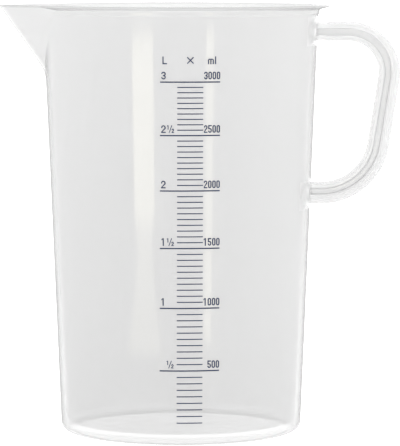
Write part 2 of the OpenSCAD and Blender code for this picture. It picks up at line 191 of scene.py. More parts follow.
class JugStudio(bpy.types.PropertyGroup):
    """Camera and light."""

    camera_distance: length("Camera distance", "Camera to the jug's axis", 1.82158)
    camera_height: length("Camera height", "Camera above the table", 0.27352)
    camera_pitch: angle("Camera pitch", "Downward tilt", 4.9)
    camera_yaw: angle("Camera yaw", "Turn towards the handle", 0.341)
    lens: FloatProperty(
        name="Lens",
        description="Focal length on a 36 mm high sensor",
        default=260.22,
        unit="CAMERA",
    )
    floor_colour: colour("Floor", "Colour of the floor", (0.9, 0.9, 0.9))
    floor_lift: share("Floor lift", "What the floor shows on top of the light it throws back", 0.85)
    sky_light: level("Sky light", "Strength of the light from the sides and behind", 1.1)
    front_light: share("Front light", "Strength of the light from the front", 0.12)
    fade_end: FloatProperty(
        name="Fade end",
        description="Where the front's weaker light ends: -1 in front, 0 at the sides, 1 behind",
        default=-0.1,
        min=-1.0,
        max=1.0,
    )
    dim_turn: angle("Dim turn", "From the front to the dimmest side, towards the spout", 12.0)
    left_turn: angle("Left lamp turn", "From the front towards the spout", 30.8)
    left_distance: length("Left lamp distance", "From that lamp to the jug's axis", 0.8)
    left_width: length("Left lamp width", "Width of the lamp on the spout's side", 0.245)
    left_height: length("Left lamp height", "Height of the lamp on the spout's side", 0.15)
    left_light: level("Left lamp", "Brightness of the lamp on the spout's side", 3.0)
    sheen_width: length("Sheen width", "Width of the light lying before the left lamp", 0.16)
    sheen_length: length("Sheen length", "Length of that light on the floor", 0.5)
    sheen_light: level("Sheen", "Brightness of that light", 1.2)
    right_turn: angle("Right lamp turn", "From the front towards the handle", 21.8)
    right_distance: length("Right lamp distance", "From that lamp to the jug's axis", 0.35)
    right_width: length("Right lamp width", "Width of the lamp on the handle's side", 0.036)
    right_height: length("Right lamp height", "Height of the lamp on the handle's side", 0.2)
    right_light: level("Right lamp", "Brightness of the lamp on the handle's side", 2.4)
    lamp_tint: colour("Lamp tint", "Colour of the standing lamps", (1.0, 0.95, 0.72))


GROUPS = {
    "jug_body": JugBodySizes,
    "jug_spout": JugSpoutSizes,
    "jug_handle": JugHandleSizes,
    "jug_finishes": JugFinishes,
    "jug_studio": JugStudio,
}


# Shape of the moulding

# The spout's crease is soft where the sides lie this many keel radii inside the wall, and keeps
# this share of its softness where they run out of it
CREASE_REACH = 1.2
LEAST_CREASE = 0.05
# Width of a root pad's soft edge in pad thicknesses, and the share of it outside the pad
PAD_EDGE = 0.7
PAD_FOOT = 0.4
# Runs of turns from the spout, in degrees: start, end and step
TURN_RUNS = ((0, 5, 0.3), (5, 20, 0.6), (20, 52, 1.0), (52, 149, 3.2), (149, 180, 0.62))
# Steps between the body's rings, in metres
INSIDE_STEP = 0.02
SPOUT_INSIDE_STEP = 0.0011
SPOUT_STEP = 0.001
WALL_STEP = 0.012
PAD_STEP = 0.0007
LOW_STEP = 0.014
# How far the fine rings run past the spout's root, and past a pad
SPOUT_MARGIN = 0.004
PAD_MARGIN = 0.003


def soft_max(a, b, softness):
    """The larger of two radii, with the crease between them rounded."""
    return (a + b + np.sqrt((a - b) ** 2 + softness**2)) / 2


def smooth_step(low, high, value):
    """0 below low, 1 above high and an even slope's ends between them."""
    t = np.clip((value - low) / (high - low), 0.0, 1.0)
    return t * t * (3 - 2 * t)


def arc(centre, radius, start, end, steps):
    """Points on an arc in the plane of distance and height, angles in degrees."""
    angles = np.radians(np.linspace(start, end, steps + 1))
    return [(centre[0] + radius * math.cos(a), centre[1] + radius * math.sin(a)) for a in angles]


class Moulding:
    """The jug's faces as distances from its axis, for a turn from the spout and a height."""

    def __init__(self, scene):
        self.body = body = scene.jug_body
        self.spout = spout = scene.jug_spout
        self.handle = handle = scene.jug_handle
        self.slope = (body.mouth_radius - body.base_radius) / body.height
        inner_base = body.base_radius + self.slope * body.floor_height - body.base_wall
        self.inner_base = inner_base
        self.inner_slope = (body.mouth_radius - body.rim_wall - inner_base) / (
            body.height - body.floor_height
        )
        self.band_top = body.height - body.rim_root
        self.band_low = self.band_top - body.band_height
        self.root_z = body.height - spout.height
        self.root_r = self.outer(self.root_z)
        self.reach = body.mouth_radius + spout.out
        self.keel_angle = math.atan(spout.height / (self.reach - self.root_r))
        self.side_reach = body.mouth_radius - spout.tuck
        self.plan_angle = math.asin(self.side_reach / self.reach)
        self.side_angle = math.atan(math.tan(self.plan_angle) / math.sin(self.keel_angle))
        self.keel_axis = spout.keel_radius / math.sin(self.side_angle)
        self.upper_arm = body.height - handle.arm_drop
        self.lower_arm = self.upper_arm - handle.arm_spacing

    def outer(self, z):
        return self.body.base_radius + self.slope * z

    def inner(self, z):
        return self.inner_base + self.inner_slope * (z - self.body.floor_height)

    def keel_rise(self, z):
        """How far a height lies along the normal of the spout's keel."""
        low = self.root_r * math.sin(self.keel_angle)
        return low + (z - self.root_z) * math.cos(self.keel_angle)

    def wedge(self, turn, z, move=0.0):
        """Distance to the V spout's face, moved outwards; it falls away behind its sides."""
        touch = math.pi / 2 - self.plan_angle
        held = np.minimum(np.abs(turn), touch)
        radius = self.spout.keel_radius + move
        rise = self.keel_rise(z)
        start = rise - self.keel_axis + radius / math.sin(self.side_angle)
        along = np.cos(held) * math.sin(self.keel_angle)
        across = np.sin(held)
        tangent = math.tan(self.side_angle)
        flat = start * tangent / (across + along * tangent)
        middle = rise - self.keel_axis
        square = along**2 + across**2
        inside = (along * middle) ** 2 - square * (middle**2 - radius**2)
        nose = (along * middle + np.sqrt(np.maximum(inside, 0.0))) / square
        on_flat = flat * across >= radius * math.cos(self.side_angle)
        found = np.where(on_flat | (inside <= 0), flat, nose)
        behind = (np.abs(turn) - held) * self.body.mouth_radius
        return np.maximum(found - behind, 0.0)

    def softness(self, z):
        """How soft the crease is: less where the sides run out of the wall."""
        rise = self.keel_rise(z)
        side = rise * math.tan(self.side_angle) / math.hypot(
            1.0, math.sin(self.keel_angle) * math.tan(self.side_angle)
        )
        deep = (self.outer(z) - side) / (CREASE_REACH * self.spout.keel_radius)
        return self.spout.blend * np.clip(deep, LEAST_CREASE, 1.0)

    def pad(self, turn, z):
        """Height of the two root pads over the wall."""
        handle = self.handle
        across = self.outer(z) * np.sin(math.pi - np.abs(turn))
        behind = np.abs(turn) > math.pi / 2
        found = np.zeros_like(turn + z)
        corner = min(handle.pad_round, handle.pad_height / 2)
        for middle in (self.upper_arm, self.lower_arm):
            dx = np.abs(across) - handle.pad_width / 2 + corner
            dz = np.abs(z - middle) - handle.pad_height / 2 + corner
            outside = np.hypot(np.maximum(dx, 0), np.maximum(dz, 0))
            gap = outside + np.minimum(np.maximum(dx, dz), 0) - corner
            soft = handle.pad_thickness * PAD_EDGE
            found = np.maximum(found, 1 - smooth_step(-soft, soft * PAD_FOOT, gap))
        return np.where(behind, found, 0.0) * handle.pad_thickness

    def outside(self, turn, z):
        """The wall's outer face with spout and pads."""
        wall = self.outer(z) + self.pad(turn, z)
        return soft_max(wall, self.wedge(turn, z), self.softness(z))

    def inside(self, turn, z):
        """The hollow's face with the spout's channel."""
        hollow = self.wedge(turn, z, -self.spout.wall)
        return soft_max(self.inner(z), hollow, self.softness(z))


def finish_mesh(name, points, faces, sharp_angle):
    """A smooth-shaded object from points and faces."""
    mesh = bpy.data.meshes.new(name)
    mesh.from_pydata([tuple(map(float, p)) for p in points], [], faces)
    mesh.validate()
    mesh.update()
    mesh.shade_smooth()
    mesh.set_sharp_from_angle(angle=math.radians(sharp_angle))
    piece = bpy.data.objects.new(name, mesh)
    bpy.context.scene.collection.objects.link(piece)
    return piece


def rows_to_faces(count_rows, count_columns):
    """Faces between rows of a closed ring grid."""
    faces = []
    for i in range(count_rows - 1):
        for j in range(count_columns):
            k = (j + 1) % count_columns
            a, b = i * count_columns, (i + 1) * count_columns
            faces.append((a + j, a + k, b + k, b + j))
    return faces


def body_turns():
    """Turns from the spout, in radians: fine at the spout and at the handle's pads."""
    half = []
    for start, end, step in TURN_RUNS:
        count = max(1, round((end - start) / step))
        half += [start + (end - start) * i / count for i in range(count)]
    half.append(180)
    degrees = half[:-1] + [-a for a in half[:0:-1]]
    return np.radians(np.array(degrees))


def spread(start, end, step):
    """Even heights from start to end, start left out."""
    count = max(1, round(abs(end - start) / step))
    return [start + (end - start) * (i + 1) / count for i in range(count)]


def body_rows(jug, turn):
    """Rings of the closed moulding, from the inside floor's middle to that of the underside, with
    the runs of rings on the rim's edge and on the foot."""
    body, spout, handle = jug.body, jug.spout, jug.handle
    top = body.height
    rows = []

    def add(radius, z):
        rows.append((radius + 0 * turn, z + 0 * turn))

    fillet_z = body.floor_height + body.floor_fillet
    inner_tilt = math.atan(jug.inner_slope)
    wall_tilt = math.atan(jug.slope)
    fillet_r = jug.inner(fillet_z) - body.floor_fillet / math.cos(inner_tilt)
    for part in (0.1, 0.35, 0.65, 0.9):
        add(fillet_r * part, body.floor_height)
    for r, z in arc((fillet_r, fillet_z), body.floor_fillet, -90, -math.degrees(inner_tilt), 6):
        add(r, z)
    fine_z = jug.root_z - SPOUT_MARGIN
    edge_z = top - body.mouth_round
    inside = spread(rows[-1][1][0], fine_z, INSIDE_STEP)
    for z in inside + spread(fine_z, edge_z, SPOUT_INSIDE_STEP):
        add(jug.inside(turn, z), z)
    edge = jug.inside(turn, edge_z)
    for part in np.radians((20, 45, 70, 90)):
        back, up = 1 - math.cos(part), math.sin(part)
        add(edge + body.mouth_round * back, edge_z + body.mouth_round * up)

    half_edge = body.rim_edge / 2
    lip = jug.wedge(turn, top, spout.lip)
    tip = soft_max(body.mouth_radius + body.rim_width, lip, 2 * spout.lip) - half_edge
    inner_top = rows[-1][0]
    add(inner_top + (tip - inner_top) * 0.5, top)
    rim_start = len(rows)
    for part in np.radians((90, 60, 30, 0, -30, -60, -90)):
        add(tip + half_edge * math.cos(part), top - half_edge + half_edge * math.sin(part))
    rim_rows = range(rim_start, len(rows) - 1)
    on_spout = smooth_step(0.0, 0.004, jug.wedge(turn, jug.band_top) - jug.outer(jug.band_top))
    root_z = jug.band_top + (top - body.rim_edge - jug.band_top) * 0.9 * on_spout

    def band(z):
        wall = jug.outer(z) + np.maximum(body.band_out, jug.pad(turn, z))
        return soft_max(wall, jug.wedge(turn, z), jug.softness(z))

    root = band(root_z)
    under_z = top - body.rim_edge
    for part in (0.5, 0.15):
        add(root + (tip - root) * part, root_z + (under_z - root_z) * part)
    add(root + (tip - root) * 0.03, root_z - body.rim_edge * 0.15)
    for part in (0.2, 0.6):
        z = root_z - body.rim_edge * 0.3 - (root_z - jug.band_low) * part * 0.8
        add(band(z), z)
    z = jug.band_low + body.band_out
    add(band(z), z)
    soft_z = jug.band_low + body.band_out * 0.4
    rows.append(((band(soft_z) * 0.6 + jug.outside(turn, soft_z) * 0.4), soft_z + 0 * turn))

    low_arc = arc(
        (jug.outer(body.base_round) - body.base_round / math.cos(wall_tilt), body.base_round),
        body.base_round,
        -math.degrees(wall_tilt),
        -90,
        8,
    )
    stops = [jug.band_low - body.band_out * 0.2]
    pad_low = jug.lower_arm - handle.pad_height / 2 - PAD_MARGIN
    pad_high = jug.lower_arm + handle.pad_height / 2 + PAD_MARGIN
    stops += spread(stops[-1], fine_z, SPOUT_STEP)
    stops += spread(fine_z, pad_high, WALL_STEP)
    stops += spread(pad_high, pad_low, PAD_STEP)
    stops += spread(pad_low, low_arc[0][1], LOW_STEP)
    for z in stops[:-1]:
        add(jug.outside(turn, z), z)
    foot_start = len(rows)
    for r, z in low_arc:
        add(r, z)
    foot_in = low_arc[-1][0] - body.foot_width
    edge_r = body.foot_width * 0.15
    for r, z in arc((foot_in + edge_r, edge_r), edge_r, -90, -180, 3):
        add(r, z)
    foot_rows = range(foot_start, len(rows) - 1)
    for r, z in arc((foot_in - edge_r, body.recess - edge_r), edge_r, 0, 90, 3):
        add(r, z)
    for part in (0.9, 0.6, 0.3, 0.1):
        add(foot_in * part, body.recess)
    return rows, rim_rows, foot_rows


# Materials of the two pieces, in the order of their slots
BODY_MATERIALS = (
    "thin_milky_moulding",
    "milky_base",
    "milky_roots",
    "milky_foot",
    # This finish is darker: painted shade on the rim's edge and a painted contact shadow at the
    # foot
    "milky_painted_shade",
    "milky_inside",
)
# The web's finish is darker, a painted shade for the handle's channel
HANDLE_MATERIALS = ("thick_milky_moulding", "milky_web_painted_shade", "milky_roots")
BASE_SLOT, ROOT_SLOT, FOOT_SLOT, PAINTED_SHADE_SLOT, INSIDE_SLOT = range(1, 6)
WEB_SHADE_SLOT, HANDLE_ROOT_SLOT = range(1, 3)
# Below this height the foot has the darker finish of the rim's edge, a painted contact shadow where
# it meets the table
FOOT_CONTACT_SHADOW_HEIGHT = 0.0006


def make_body(scene):
    """The wall, floor, foot, rim, spout and root pads as one closed moulding."""
    jug = Moulding(scene)
    turn = body_turns()
    rows, rim_rows, foot_rows = body_rows(jug, turn)
    points = []
    for r, z in rows:
        points += list(zip(-r * np.cos(turn), -r * np.sin(turn), z))
    count = len(turn)
    faces = [tuple(reversed(face)) for face in rows_to_faces(len(rows), count)]
    for row, z, flip in ((0, rows[0][1][0], False), (len(rows) - 1, rows[-1][1][0], True)):
        middle = len(points)
        points.append((0.0, 0.0, z))
        for j in range(count):
            face = (row * count + j, row * count + (j + 1) % count, middle)
            faces.append(tuple(reversed(face)) if flip else face)
    piece = finish_mesh("jug_body", points, faces, 40)
    disc_r = jug.inner_base - jug.body.floor_fillet / 2
    disc_z = jug.body.floor_height + jug.body.floor_fillet / 2
    pad_y = jug.handle.pad_width / 2 + jug.handle.pad_thickness
    pad_z = jug.handle.pad_height / 2 + jug.handle.pad_thickness
    for number, face in enumerate(piece.data.polygons):
        middle = face.center
        radius = math.hypot(middle.x, middle.y)
        from_arm = min(abs(middle.z - jug.upper_arm), abs(middle.z - jug.lower_arm))
        # The flange's rounded edge gets the darker finish, a painted shade line along the rim
        if number // count in rim_rows:
            face.material_index = PAINTED_SHADE_SLOT
        # The foot's lowest rows get the same darker finish, a painted contact shadow
        elif number // count in foot_rows:
            face.material_index = PAINTED_SHADE_SLOT if middle.z < FOOT_CONTACT_SHADOW_HEIGHT else FOOT_SLOT
        elif middle.z < disc_z and radius < disc_r:
            face.material_index = BASE_SLOT
        elif number // count < rim_rows.start:
            face.material_index = INSIDE_SLOT
        elif middle.x > 0 and abs(middle.y) < pad_y and from_arm < pad_z:
            if radius > (jug.inner(middle.z) + jug.outer(middle.z)) / 2:
                face.material_index = ROOT_SLOT
    return piece


# Places across a flange's rounded back, as shares of its half width
BACK_SHARES = (0.0, 0.2, 0.4, 0.6, 0.8, 0.93)


def handle_section(handle):
    """The H-section's outline: distance out of the loop, share of the half width, an added
    distance across, and the rise of the outer back. It runs from that back round the handle."""
    half = handle.thickness / 2
    outer_flat = half - handle.outer_crown - handle.outer_edge
    inner_flat = half - handle.inner_crown - handle.inner_edge
    edge, fillet, web = handle.edge_round, handle.web_fillet, handle.web / 2

    def side(flat, thick, crown, way):
        """Right-hand half of a flange, from the middle of its back to the web."""
        back = way * (flat + thick)
        found = [(back, part, 0.0, way * crown * (1 - part**2)) for part in BACK_SHARES]
        for a in np.radians((0, 30, 60, 90)):
            dip = edge * (1 - math.cos(a))
            found.append((back - way * dip, 1.0, edge * (math.sin(a) - 1), 0.0))
        for a in np.radians((0, 45, 90)):
            level = way * (flat + edge * (1 - math.sin(a)))
            found.append((level, 1.0, edge * (math.cos(a) - 1), 0.0))
        found.append((way * flat, 0.7, 0.0, 0.0))
        for a in np.radians((0, 45, 90)):
            dip, rise = fillet * (1 - math.cos(a)), fillet * (1 - math.sin(a))
            found.append((way * (flat - dip), 0.0, web + rise, 0.0))
        return found

    right = side(outer_flat, handle.outer_edge, handle.outer_crown, 1)
    low_right = [
        (out + rise, part, more, 0.0)
        for out, part, more, rise in side(inner_flat, handle.inner_edge, handle.inner_crown, -1)
    ]
    right += list(reversed(low_right))
    left = [(out, -part, -more, rise) for out, part, more, rise in right[-2:0:-1]]
    return right + left


# Points of the section nearer its middle than this share of the half width are on the web
WEB_SHARE = 0.05
# Part of an arm's straight run, from the wall, that its root takes up
ROOT_SHARE = 0.3
# Rings on the handle's line, and how deep its ends are sunk into the wall
ARM_STEPS = 22
BEND_STEPS = 26
GRIP_STEPS = 12
SUNK_SHARE = 0.6


def handle_line(jug):
    """The middle line from wall to wall: X, Z, the angle out of the loop, how much of its back the
    outer flange has, and where it lies on an arm how far along from the wall, and the flare."""
    handle = jug.handle
    upper_x = jug.body.mouth_radius + handle.out - handle.thickness / 2 - handle.upper_bend
    lower_x = jug.outer(jug.lower_arm) + handle.lower_arm
    upper_z, lower_z = jug.upper_arm - handle.upper_bend, jug.lower_arm + handle.lower_bend
    apart_x, apart_z = upper_x - lower_x, upper_z - lower_z
    growth = handle.lower_bend - handle.upper_bend
    apart = math.hypot(apart_x, apart_z)
    lean = math.degrees(math.atan(apart_x / apart_z) - math.asin(growth / apart))
    low_share = handle.arm_crown / handle.outer_crown
    along = [(i / ARM_STEPS) ** 1.6 for i in range(ARM_STEPS)]
    line = [(upper_x, jug.upper_arm, 90.0, low_share, part, handle.upper_flare) for part in along]
    turns = np.linspace(90, -lean, BEND_STEPS + 1)
    for i, (x, z) in enumerate(arc((upper_x, upper_z), handle.upper_bend, 90, -lean, BEND_STEPS)):
        back = low_share + (1 - low_share) * i / BEND_STEPS
        line.append((x, z, float(turns[i]), back, None, 0.0))
    low_bend = arc((lower_x, lower_z), handle.lower_bend, -lean, -90, BEND_STEPS)
    start, end = line[-1], low_bend[0]
    for i in range(1, GRIP_STEPS):
        part = i / GRIP_STEPS
        x, z = start[0] + (end[0] - start[0]) * part, start[1] + (end[1] - start[1]) * part
        line.append((x, z, -lean, 1.0, None, 0.0))
    for (x, z), a in zip(low_bend, np.linspace(-lean, -90, BEND_STEPS + 1)):
        line.append((x, z, float(a), 1.0, None, 0.0))
    for part in reversed(along):
        line.append((lower_x, jug.lower_arm, -90.0, 1.0, part, handle.lower_flare))
    return line


def make_handle(scene):
    """The loop handle with its H-section, sunk a little into the wall at both roots."""
    jug = Moulding(scene)
    handle = jug.handle
    section = handle_section(handle)
    half_w = handle.width / 2
    sunk = jug.body.rim_wall * SUNK_SHARE
    points = []
    line = handle_line(jug)
    for x, z, angle, back, along, flare in line:
        cos_a, sin_a = math.cos(math.radians(angle)), math.sin(math.radians(angle))
        for level, part, more, rise in section:
            out = level + rise * back
            pz = z + out * sin_a
            if along is None:
                points.append((x + out * cos_a, part * half_w + more, pz))
                continue
            tip_x = math.sqrt(jug.outer(z) ** 2 - (half_w + flare) ** 2)
            here = tip_x + (x - tip_x) * along
            widened = 0.0
            if here < tip_x + flare:
                widened = flare - math.sqrt(flare**2 - (tip_x + flare - here) ** 2)
            y = part * (half_w + widened) + more
            wall_x = math.sqrt((jug.outer(pz) - sunk) ** 2 - y**2)
            points.append((wall_x + (x - wall_x) * along, y, pz))
    count = len(section)
    faces = rows_to_faces(len(line), count)
    faces.append(tuple(range(count)))
    last = (len(line) - 1) * count
    faces.append(tuple(last + j for j in reversed(range(count))))
    faces = [tuple(reversed(face)) for face in faces]
    piece = finish_mesh("loop_handle", points, faces, 35)
    on_web = [j for j in range(count) if abs(section[j][1]) < WEB_SHARE]
    on_web = {j for j in on_web if (j + 1) % count in on_web}
    for face in piece.data.polygons:
        along = line[min(face.vertices) // count][4]
        if along is not None and along < ROOT_SHARE:
            face.material_index = HANDLE_ROOT_SLOT
        columns = {v % count for v in face.vertices}
        # Faces on the web get the darker finish, a painted shade for the handle's channel
        if len(face.vertices) == 4 and columns <= {j for k in on_web for j in (k, (k + 1) % count)}:
            face.material_index = WEB_SHADE_SLOT
    return piece


# Finishes

# The milky plastic's clouds and fine grain: scale per metre, detail, and how much they show
CLOUD_SCALE = 28.0
CLOUD_DETAIL = 3.0
CLOUD_TINT = (0.994, 0.994, 0.994, 1)
GRAIN_SCALE = 900.0
GRAIN_STRENGTH = 0.03
GRAIN_DEPTH = 0.0005
PLASTIC_IOR = 1.49
# How late the gloss rises towards slanting faces
GLOSS_POWER = 5.0
# The ink's uneven lay: scale per metre, detail, and its lighter colour as share and lift
LAY_SCALE = 700.0
LAY_DETAIL = 4.0
LAY_SHARE = 1.6
LAY_LIFT = 0.02
INK_ROUGHNESS = 0.45


def new_material(name):
    """An empty node material with its output."""
    material = bpy.data.materials.new(name)
    material.use_nodes = True
    nodes = material.node_tree.nodes
    nodes.clear()
    output = nodes.new("ShaderNodeOutputMaterial")
    return material, nodes, material.node_tree.links, output


def add_node(nodes, kind, **values):
    """A node with some of its inputs set; a _ in a name stands for the space in the input's."""
    node = nodes.new(kind)
    for name, value in values.items():
        node.inputs[name.replace("_", " ")].default_value = value
    return node


def mix_faces(nodes, links, first, second):
    """Two shaders mixed, with the second one's share left to set."""
    mix = nodes.new("ShaderNodeMixShader")
    links.new(first.outputs[0], mix.inputs[1])
    links.new(second.outputs[0], mix.inputs[2])
    return mix


def cloudy_colour(nodes, links, place, height, high, low):
    """Colour that goes from low at the table to high at the rim, with faint clouds."""
    cloud = add_node(nodes, "ShaderNodeTexNoise", Scale=CLOUD_SCALE, Detail=CLOUD_DETAIL)
    links.new(place.outputs["Object"], cloud.inputs["Vector"])
    axes = nodes.new("ShaderNodeSeparateXYZ")
    links.new(place.outputs["Object"], axes.inputs["Vector"])
    rise = add_node(nodes, "ShaderNodeMapRange", From_Max=height)
    links.new(axes.outputs["Z"], rise.inputs["Value"])
    depth = add_node(nodes, "ShaderNodeMixRGB", Color1=(*low, 1), Color2=(*high, 1))
    links.new(rise.outputs["Result"], depth.inputs["Fac"])
    tint = add_node(nodes, "ShaderNodeMixRGB", Color2=CLOUD_TINT)
    tint.blend_type = "MULTIPLY"
    links.new(depth.outputs["Color"], tint.inputs["Color1"])
    links.new(cloud.outputs["Fac"], tint.inputs["Fac"])
    return tint.outputs["Color"]


def gloss_share(nodes, links, facing, gloss, edge_gloss):
    """Share of mirrored light: more on slanting faces, none on a face seen from within."""
    steep = nodes.new("ShaderNodeMath")
    steep.operation = "POWER"
    steep.inputs[1].default_value = GLOSS_POWER
    links.new(facing, steep.inputs[0])
    shine = add_node(nodes, "ShaderNodeMapRange", To_Min=gloss, To_Max=edge_gloss)
    links.new(steep.outputs["Value"], shine.inputs["Value"])
    side = nodes.new("ShaderNodeNewGeometry")
    outside = add_node(nodes, "ShaderNodeMapRange", To_Max=0.0)
    links.new(side.outputs["Backfacing"], outside.inputs["Value"])
    links.new(shine.outputs["Result"], outside.inputs["To Min"])
    return outside.outputs["Result"]


def milky_plastic(scene, name, high, low, clear_share, edge_tint):
    """Milky plastic under a gloss: part of the light is thrown back, part glows through, part goes
    straight, and slanting edges are dark as those of clear plastic are."""
    finish = scene.jug_finishes
    material, nodes, links, output = new_material(name)
    place = nodes.new("ShaderNodeTexCoord")
    colour = cloudy_colour(nodes, links, place, scene.jug_body.height, high, low)
    grain = add_node(nodes, "ShaderNodeTexNoise", Scale=GRAIN_SCALE)
    links.new(place.outputs["Object"], grain.inputs["Vector"])
    bump = add_node(nodes, "ShaderNodeBump", Strength=GRAIN_STRENGTH, Distance=GRAIN_DEPTH)
    links.new(grain.outputs["Fac"], bump.inputs["Height"])

    face = add_node(nodes, "ShaderNodeBsdfPrincipled", Roughness=finish.roughness, IOR=PLASTIC_IOR)
    links.new(colour, face.inputs["Base Color"])
    links.new(bump.outputs["Normal"], face.inputs["Normal"])
    glow = nodes.new("ShaderNodeBsdfTranslucent")
    links.new(colour, glow.inputs["Color"])
    milk = mix_faces(nodes, links, face, glow)
    milk.inputs["Fac"].default_value = finish.glow

    clear = add_node(nodes, "ShaderNodeBsdfTransparent", Color=(1, 1, 1, 1))
    thin = mix_faces(nodes, links, milk, clear)
    thin.inputs["Fac"].default_value = clear_share

    slant = add_node(nodes, "ShaderNodeLayerWeight", Blend=0.5)
    edge_share = add_node(nodes, "ShaderNodeMapRange", From_Min=finish.edge_start)
    links.new(slant.outputs["Facing"], edge_share.inputs["Value"])
    edge = add_node(nodes, "ShaderNodeBsdfTransparent", Color=(*edge_tint, 1))
    ends = mix_faces(nodes, links, thin, edge)
    links.new(edge_share.outputs["Result"], ends.inputs["Fac"])

    gloss = add_node(nodes, "ShaderNodeBsdfGlossy", Roughness=finish.roughness)
    links.new(bump.outputs["Normal"], gloss.inputs["Normal"])
    coat = mix_faces(nodes, links, ends, gloss)
    facing = slant.outputs["Facing"]
    shine = gloss_share(nodes, links, facing, finish.gloss, finish.edge_gloss)
    links.new(shine, coat.inputs["Fac"])
    links.new(coat.outputs["Shader"], output.inputs["Surface"])
    return material


def printed_ink(scene):
    """Flat dark blue ink with a slightly uneven lay."""
    material, nodes, links, output = new_material("printed_scale_ink")
    ink = scene.jug_finishes.ink
    lighter = [min(1, c * LAY_SHARE + LAY_LIFT) for c in ink]
    place = nodes.new("ShaderNodeTexCoord")
    lay = add_node(nodes, "ShaderNodeTexNoise", Scale=LAY_SCALE, Detail=LAY_DETAIL)
    links.new(place.outputs["Object"], lay.inputs["Vector"])
    shade = add_node(nodes, "ShaderNodeMixRGB", Color1=(*ink, 1), Color2=(*lighter, 1))
    links.new(lay.outputs["Fac"], shade.inputs["Fac"])
    face = add_node(nodes, "ShaderNodeBsdfPrincipled", Roughness=INK_ROUGHNESS)
    links.new(shade.outputs["Color"], face.inputs["Base Color"])
    links.new(face.outputs["BSDF"], output.inputs["Surface"])
    return material


def either_ray(nodes, links, *rays):
    """1 for rays of the named kinds."""
    path = nodes.new("ShaderNodeLightPath")
    seen = path.outputs[rays[0]]
    for ray in rays[1:]:
        either = nodes.new("ShaderNodeMath")
        either.operation = "MAXIMUM"
        links.new(seen, either.inputs[0])
        links.new(path.outputs[ray], either.inputs[1])
        seen = either.outputs["Value"]
    return seen


def studio_floor(scene):
    """Pale floor with the jug's shadow, white to the camera, in reflections and through plastic."""
    studio = scene.jug_studio
    material, nodes, links, output = new_material("studio_floor")
    base = nodes.new("ShaderNodeBsdfDiffuse")
    base.inputs["Color"].default_value = (*studio.floor_colour, 1)
    strength = nodes.new("ShaderNodeMath")
    strength.operation = "MULTIPLY"
    strength.inputs[1].default_value = studio.floor_lift
    links.new(either_ray(nodes, links, "Is Camera Ray"), strength.inputs[0])
    lift = nodes.new("ShaderNodeEmission")
    links.new(strength.outputs["Value"], lift.inputs["Strength"])
    both = nodes.new("ShaderNodeAddShader")
    links.new(base.outputs["BSDF"], both.inputs[0])
    links.new(lift.outputs["Emission"], both.inputs[1])
    white = nodes.new("ShaderNodeEmission")
    shown = nodes.new("ShaderNodeMixShader")
    links.new(either_ray(nodes, links, "Is Glossy Ray", "Is Transmission Ray"), shown.inputs["Fac"])
    links.new(both.outputs["Shader"], shown.inputs[1])
    links.new(white.outputs["Emission"], shown.inputs[2])
    links.new(shown.outputs["Shader"], output.inputs["Surface"])
    return material


def studio_world(scene):
    """Pale surroundings, dimmer in front, and white to the camera, in gloss and through plastic."""
    studio = scene.jug_studio
    world = bpy.data.worlds.new("studio_world")
    scene.world = world
    world.use_nodes = True
    nodes, links = world.node_tree.nodes, world.node_tree.links
    nodes.clear()
    output = nodes.new("ShaderNodeOutputWorld")
    sky = nodes.new("ShaderNodeBackground")
    sky.inputs["Color"].default_value = (1, 1, 1, 1)
    place = nodes.new("ShaderNodeTexCoord")
    behind = nodes.new("ShaderNodeVectorMath")
    behind.operation = "DOT_PRODUCT"
    behind.inputs[1].default_value = (math.sin(studio.dim_turn), math.cos(studio.dim_turn), 0.0)
    links.new(place.outputs["Generated"], behind.inputs[0])
    fade = nodes.new("ShaderNodeMapRange")
    fade.interpolation_type = "SMOOTHSTEP"
    fade.inputs["From Min"].default_value = -1.0
    fade.inputs["From Max"].default_value = studio.fade_end
    fade.inputs["To Min"].default_value = studio.front_light
    fade.inputs["To Max"].default_value = studio.sky_light
    links.new(behind.outputs["Value"], fade.inputs["Value"])
    level = nodes.new("ShaderNodeMapRange")
    level.inputs["To Max"].default_value = 1.0
    links.new(fade.outputs["Result"], level.inputs["To Min"])
    seen = either_ray(nodes, links, "Is Camera Ray", "Is Glossy Ray", "Is Transmission Ray")
    links.new(seen, level.inputs["Value"])
    links.new(level.outputs["Result"], sky.inputs["Strength"])
    links.new(sky.outputs["Background"], output.inputs["Surface"])


def soft_lamp(name, place, tilt, turn, size, brightness, tint):
    """A rectangular soft light that shows in the jug's gloss, tilted up from facing the floor."""
    lamp = bpy.data.lights.new(name, "AREA")
    lamp.shape = "RECTANGLE"
    lamp.size, lamp.size_y = size
    lamp.energy = brightness * math.pi * size[0] * size[1]
    lamp.color = tint
    piece = bpy.data.objects.new(name, lamp)
    bpy.context.scene.collection.objects.link(piece)
    piece.location = place
    piece.rotation_euler = (tilt, 0.0, turn)
    piece.visible_diffuse = False
    piece.visible_transmission = False
    return piece


def beside_jug(distance, turn, z):
    """A place at a distance from the jug's axis, turned from the front towards the handle."""
    return distance * math.sin(turn), -distance * math.cos(turn), z


# Corners of the floor, and the height of a light lying on it, in metres
FLOOR_CORNERS = ((-60, -30, 0), (60, -30, 0), (60, 90, 0), (-60, 90, 0))
FLOOR_GAP = 0.002


class MEASURINGJUG_OT_body(bpy.types.Operator):
    """Make the moulded body: wall, floor, foot, rim, spout and root pads."""

    bl_idname = "measuring_jug.body"
    bl_label = "Moulded body"

    def execute(self, context):
        piece = make_body(context.scene)
        for name in BODY_MATERIALS:
            piece.data.materials.append(bpy.data.materials[name])
        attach(piece, "root")
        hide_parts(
            "side_wall",
            "base_floor",
            "foot_ring",
            "rim_flange",
            "pouring_spout",
            "spout_lip",
            "upper_handle_root",
            "lower_handle_root",
        )
        return {"FINISHED"}


